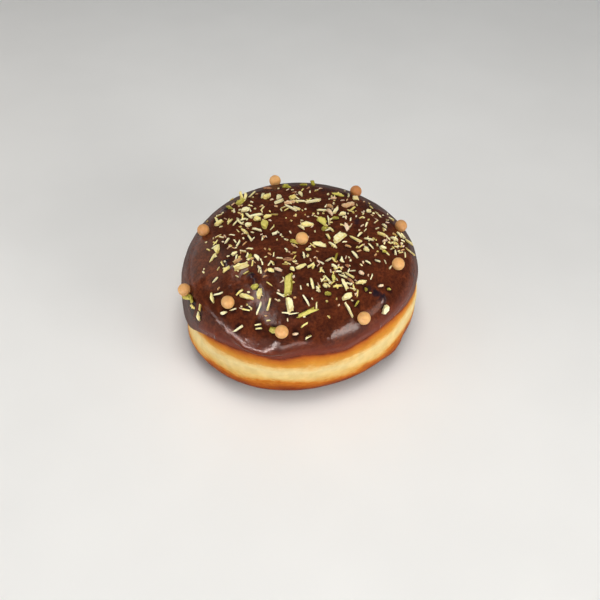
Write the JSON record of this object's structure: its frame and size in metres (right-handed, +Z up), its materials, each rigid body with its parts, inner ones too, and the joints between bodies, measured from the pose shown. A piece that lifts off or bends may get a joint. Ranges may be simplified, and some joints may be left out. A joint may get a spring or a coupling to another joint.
{
  "type": "berliner doughnut",
  "caption": "Round fried doughnut with a pale waist, a cap of chocolate icing and small caramel pearls, flattened underneath where it rests.",
  "frame": {"origin": "under the middle of the bun's outline, on the flat that it rests on", "axes": "+Z up through the icing, -Y towards the side the picture shows, +X to its right"},
  "size_m": [0.0908, 0.0888, 0.0487],
  "materials": {
    "fried_dough": "golden brown fried crust with a pale band round the waist",
    "chocolate_icing": "set chocolate icing with a soft gloss",
    "caramel_pearl": "matt caramel coating"
  },
  "bodies": {
    "root": {"dough": "fried_dough", "chocolate_icing": "chocolate_icing", "caramel_pearl_1": "caramel_pearl", "caramel_pearl_2": "caramel_pearl", "caramel_pearl_3": "caramel_pearl", "caramel_pearl_4": "caramel_pearl", "caramel_pearl_5": "caramel_pearl", "caramel_pearl_6": "caramel_pearl", "caramel_pearl_7": "caramel_pearl", "caramel_pearl_8": "caramel_pearl", "caramel_pearl_9": "caramel_pearl", "caramel_pearl_10": "caramel_pearl"}
  },
  "joints": []
}
